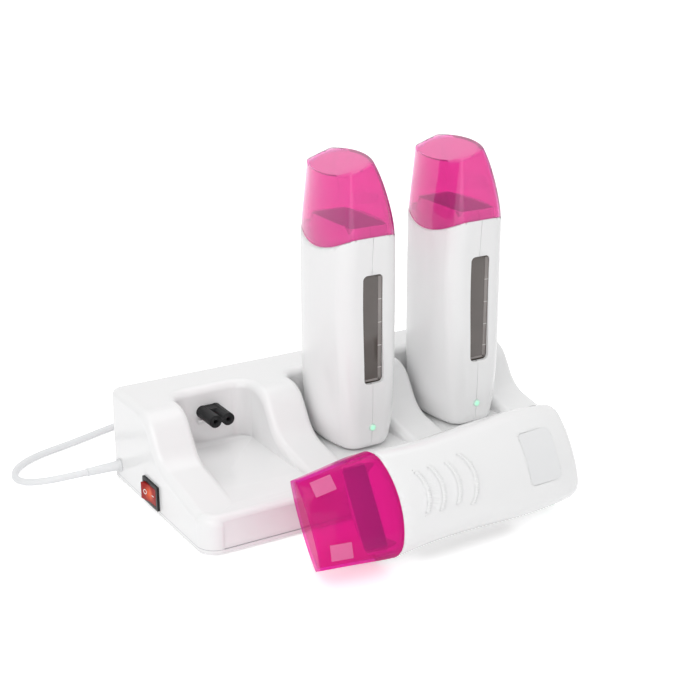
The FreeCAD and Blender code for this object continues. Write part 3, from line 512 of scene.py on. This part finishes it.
def bar(made, centre, size, edge):
    """A block with rounded edges, in millimetres."""
    verts = bmesh.ops.create_cube(made, size=MM)["verts"]
    bmesh.ops.scale(made, vec=size, verts=verts)
    bmesh.ops.translate(made, vec=Vector(centre) * MM, verts=verts)
    edges = {e for v in verts for e in v.link_edges}
    bmesh.ops.bevel(made, geom=list(edges), offset=edge * MM, affect="EDGES", segments=2, profile=0.5,
                    material=-1)


print("new pieces can be finished")

# %% [markdown]
# ## The rim between cap and body
# The body's upper edge sags in the middle of its broad faces, and the cap follows it. The
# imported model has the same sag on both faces, as one round cut made it, and here the gripped
# face gets about half of it. The points of that cut lie on two cylinders round one axis, one
# for the cap and one for the body, so they are easy to find. Each moves up by a share that
# fades out across and around the body.

# %% Easing the rim
RIM_HALF, RIM_CENTRE, RIM_RADII = 30.3, 181.505, (55.505, 55.205)
RIM_THICK, RIM_LIFT, RIM_NEAR = 23, 4.5, 0.03


def eased_rim(node, place):
    """Raises the rim between cap and body towards the gripped face, and counts its points."""
    to_heater = place.inverted()
    raised = 0
    for vertex in PIECES[node].data.vertices:
        x, y, z = (to_heater @ vertex.co) / MM
        reach = math.hypot(y, z - RIM_CENTRE)
        if z < RIM_CENTRE and min(abs(reach - radius) for radius in RIM_RADII) < RIM_NEAR:
            share = (x + RIM_THICK) / (2 * RIM_THICK) * (1 - (y / RIM_HALF) ** 2)
            vertex.co = place @ (Vector((x, y, z + RIM_LIFT * share)) * MM)
            raised += 1
    return raised


for number, place in HEATER_AT.items():
    for part in ("shell_front", "shell_back", "cap"):
        node = f"heater_{number}_{part}"
        print(eased_rim(node, place), "points raised on", node)

# %% [markdown]
# ## The green lamps
# A small light guide in the narrow side glows when the heater has power. Its light comes from
# behind its middle, so the colour is strongest there and fades to milky white at the rim. Each
# lamp measures that distance from its own middle, so each has its own finish.

# %% Lamps that glow from the middle
LAMP_SPOT, LAMP_RADIUS = Vector((0, -30.3, 15.5)) * MM, 2.2 * MM
for number, place in HEATER_AT.items():
    glass = moulded(f"lamp_green_{number}", (0.5, 0.95, 0.72), 0.3, Emission_Strength=1.0)
    spread = distance_from(glass, place @ LAMP_SPOT) * (1 / LAMP_RADIUS)
    glass.drive("Base Color", glass.mix(spread, (0.3, 0.85, 0.55, 1), (0.75, 0.88, 0.82, 1)))
    glass.drive("Emission Color", glass.mix(spread, (0.25, 0.7, 0.42, 1), (0.0, 0.04, 0.02, 1)))
    PIECES[f"heater_{number}_lamp"].data.materials[0] = glass.material
print("three lamps glow")

# %% [markdown]
# ## The tabs on the lying cap, with a painted reflection
# Two small square tabs sit on the lying heater's cap, in the upper corners of its gripped
# side. Their pink is painted paler than the wall's. The tabs have their own tint, and the paler
# pink on top of it is a painted reflection of two square lamps in those curved corners. Each is
# a thin block with rounded edges, turned to the slope and the bow of the wall, and set a little into it.

# %% Tabs on the cap, with a painted reflection
TAB_SIZE, TAB_EDGE = (0.8, 9, 12), 0.3
TAB_DEPTH, TAB_SIDE, TAB_LEVEL = 11.25, 18, 167
WALL_SLOPE, WALL_BOW = 22, 18.1
# The tabs' paler pink is a painted reflection of square lamps in the cap's corners.
tab_reflection_paint = cap_plastic("cap_reflection_tab", (0.98, 0.4, 0.7), (0.97, 0.34, 0.66), 0.6, 0.2, 1.01)
made = bmesh.new()
for side in (-1, 1):
    before = set(made.verts)
    bar(made, (0, 0, 0), TAB_SIZE, TAB_EDGE)
    leaning = turned(side * WALL_BOW, "Z") @ turned(-WALL_SLOPE, "Y")
    at = moved(TAB_DEPTH, side * TAB_SIDE, TAB_LEVEL) @ leaning
    bmesh.ops.transform(made, matrix=at, verts=[v for v in made.verts if v not in before])
finished("cap_reflection_tabs", made, HEATER_AT[1], "cap_1", tab_reflection_paint)
print("two tabs")

# %% [markdown]
# ## The thumb ridges
# Four crescents on the gripped face give the hand a hold. Their raised form is part of the
# packed shell. Here a flat sheet is laid under each of them: an oval is spun part of the way
# round, thinned towards both ends and bent to the face. The oval lies in the plane in which
# it is spun, so the sheet has no thickness. An oval that stood across that plane would give
# a rounded ridge.

# %% Sheets under the ridges
GRIP_FACE, FACE_ROUND, SHEET_INSET = 24.0, 70, 0.3
RIDGE_BEND, RIDGE_END = 20, 1.8
SHEET_ARC, SHEET_REACH = 18.7, 2.6
RIDGES = ((78, 29), (90, 24), (101, 25), (111, 23))


def ridge_sheet(made, level, length):
    """A flat crescent just under the gripped face, at a level and of a length in millimetres."""
    before = set(made.verts)
    half_turn = math.asin((length / 2 + RIDGE_END) / RIDGE_BEND)
    upright = turned(90, "X") @ turned(90, "Y")
    ring = bmesh.ops.create_circle(made, segments=14, radius=1, matrix=upright)["verts"]
    bmesh.ops.scale(made, vec=(1, 1, SHEET_REACH), verts=ring)
    bmesh.ops.translate(made, vec=(0, 0, -SHEET_ARC), verts=ring)
    bmesh.ops.rotate(made, matrix=Matrix.Rotation(-half_turn, 3, "X"), verts=ring)
    edges = list({e for v in ring for e in v.link_edges})
    bmesh.ops.spin(made, geom=ring + edges, cent=(0, 0, 0), axis=(1, 0, 0), angle=2 * half_turn, steps=36)
    for vertex in [v for v in made.verts if v not in before]:
        turn = math.atan2(vertex.co.y, -vertex.co.z)
        thin = math.sqrt(max(0.0, 1 - (turn / half_turn) ** 4))
        radius = SHEET_ARC + (math.hypot(vertex.co.y, vertex.co.z) - SHEET_ARC) * thin
        y, z = radius * math.sin(turn), level + RIDGE_BEND - radius * math.cos(turn)
        x = GRIP_FACE - SHEET_INSET - FACE_ROUND + math.sqrt(FACE_ROUND ** 2 - y * y)
        vertex.co = Vector((x, y, z)) * MM


for number, place in HEATER_AT.items():
    made = bmesh.new()
    for level, length in RIDGES:
        ridge_sheet(made, level, length)
    bmesh.ops.remove_doubles(made, verts=made.verts, dist=0.005 * MM)
    finished(f"thumb_ridges_{number}", made, place, f"heater_{number}",
             FINISHES["white_plastic"])
print(len(RIDGES), "sheets on each heater")

# %% [markdown]
# ## The wax gauge in the windows
# Down one side of the smoked window runs a paler strip with four short lines, which show how
# much wax is left, and a paler edge closes it below. Thin raised blocks draw them, and stay
# crisp at any distance, which a painted pattern wouldn't.

# %% Gauge strips and lines
LENS_FACE = -27.5
STRIP_X, STRIP_WIDTH, STRIP_EDGE = 5.9, 2.4, 0.1
LINE_LEVELS = (53, 67, 81.5, 96)
strip_paint = clouded(moulded("gauge_strip", (0.26, 0.24, 0.23), 0.3),
                      (0.2, 0.18, 0.17), (0.36, 0.33, 0.32), 60)
line_paint = moulded("gauge_line", (0.66, 0.64, 0.63), 0.4)
for number, place in HEATER_AT.items():
    made = bmesh.new()
    bar(made, (STRIP_X, LENS_FACE, 77.75), (STRIP_WIDTH, 0.3, 65), STRIP_EDGE)
    bar(made, (0.8, LENS_FACE, 45.6), (10.5, 0.3, 1.3), STRIP_EDGE)
    finished(f"gauge_strip_{number}", made, place, f"heater_{number}", strip_paint)
    made = bmesh.new()
    for level in LINE_LEVELS:
        bar(made, (STRIP_X, LENS_FACE - 0.1, level), (STRIP_WIDTH, 0.4, 0.45), STRIP_EDGE)
    finished(f"gauge_lines_{number}", made, place, f"heater_{number}", line_paint)
print("gauges on", len(HEATER_AT), "heaters")

# %% [markdown]
# ## The marks on the switch
# A ring and a bar, the common signs for off and on, are printed white on the rocker. The
# rocker's face is two shallow slopes that meet in its middle, so each mark is built flat and
# then laid on its own slope. The ring is a small section spun round; the bar is a block.

# %% The ring and the bar
ROCKER_AT = Matrix.Translation(ROCKER_MIDDLE) @ turned(9, "Z")
ROCKER_RISE, ROCKER_SLOPE = 1.5, 0.113
MARK_ALONG, RING_RADIUS, RING_SECTION, RING_FLATNESS = 4.2, 1.35, 0.28, 0.35
mark_paint = moulded("mark_white", (0.85, 0.83, 0.8), 0.45)


def on_slope(along):
    """The place of a mark on the rocker's face, at a distance along it from the middle."""
    outwards = Vector((-1, math.copysign(ROCKER_SLOPE, -along), 0)).normalized()
    upwards = Vector((0, 0, 1))
    face = Matrix((outwards, upwards.cross(outwards), upwards)).transposed().to_4x4()
    return ROCKER_AT @ moved(-ROCKER_RISE - ROCKER_SLOPE * abs(along), along, 0) @ face


made = bmesh.new()
section = bmesh.ops.create_circle(made, segments=8, radius=RING_SECTION * MM)
bmesh.ops.translate(made, vec=(RING_RADIUS * MM, 0, 0), verts=section["verts"])
bmesh.ops.spin(made, geom=made.edges[:], cent=(0, 0, 0), axis=(0, 1, 0), angle=2 * math.pi, steps=32,
               use_merge=True)
bmesh.ops.transform(made, matrix=turned(90, "Z"), verts=made.verts)
bmesh.ops.scale(made, vec=(RING_FLATNESS, 1, 1), verts=made.verts)
finished("off_mark", made, on_slope(MARK_ALONG), "switch", mark_paint)
made = bmesh.new()
bar(made, (0, 0, 0), (0.2, 2.6, 0.6), 0.08)
finished("on_mark", made, on_slope(-MARK_ALONG), "switch", mark_paint)
print("two marks")

# %% [markdown]
# ## The joint round the base
# The bottom plate is screwed into the housing from below, and a hair-line shows where the two
# mouldings meet. A plate of the base's outline, a few hundredths of a millimetre larger and a
# quarter of a millimetre high, draws that line all round.

# %% The hair-line
JOINT_PROUD, JOINT_HEIGHT, JOINT_DROP = 0.06 * MM, 0.25 * MM, 0.12 * MM
FRONT_CORNER, BACK_CORNER = 11.5 * MM, 7 * MM
low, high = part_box("base_bottom")
made = bmesh.new()
plate = bmesh.ops.create_grid(made, x_segments=1, y_segments=1, size=0.5)["verts"]
bmesh.ops.scale(made, vec=(high.x - low.x + JOINT_PROUD, high.y - low.y + JOINT_PROUD, 1), verts=plate)
front = [v for v in plate if v.co.y < 0]
back = [v for v in plate if v.co.y > 0]
for reach, corners in ((FRONT_CORNER, front), (BACK_CORNER, back)):
    bmesh.ops.bevel(made, geom=corners, offset=reach, affect="VERTICES", segments=10, profile=0.5,
                    material=-1)
raised = bmesh.ops.extrude_face_region(made, geom=made.faces[:])["geom"]
raised = [item for item in raised if isinstance(item, bmesh.types.BMVert)]
bmesh.ops.translate(made, vec=(0, 0, JOINT_HEIGHT), verts=raised)
joint_paint = moulded("joint_grey", (0.42, 0.43, 0.45), 0.6)
joint_place = Matrix.Translation((0, 0, high.z - JOINT_DROP))
finished("base_joint", made, joint_place, "base", joint_paint)
print("a hair-line at", round(high.z / MM, 2), "mm")

# %% [markdown]
# ## The last update
# The view layer is updated once more, so that every piece stands in its place.

# %% Finish
bpy.context.view_layer.update()
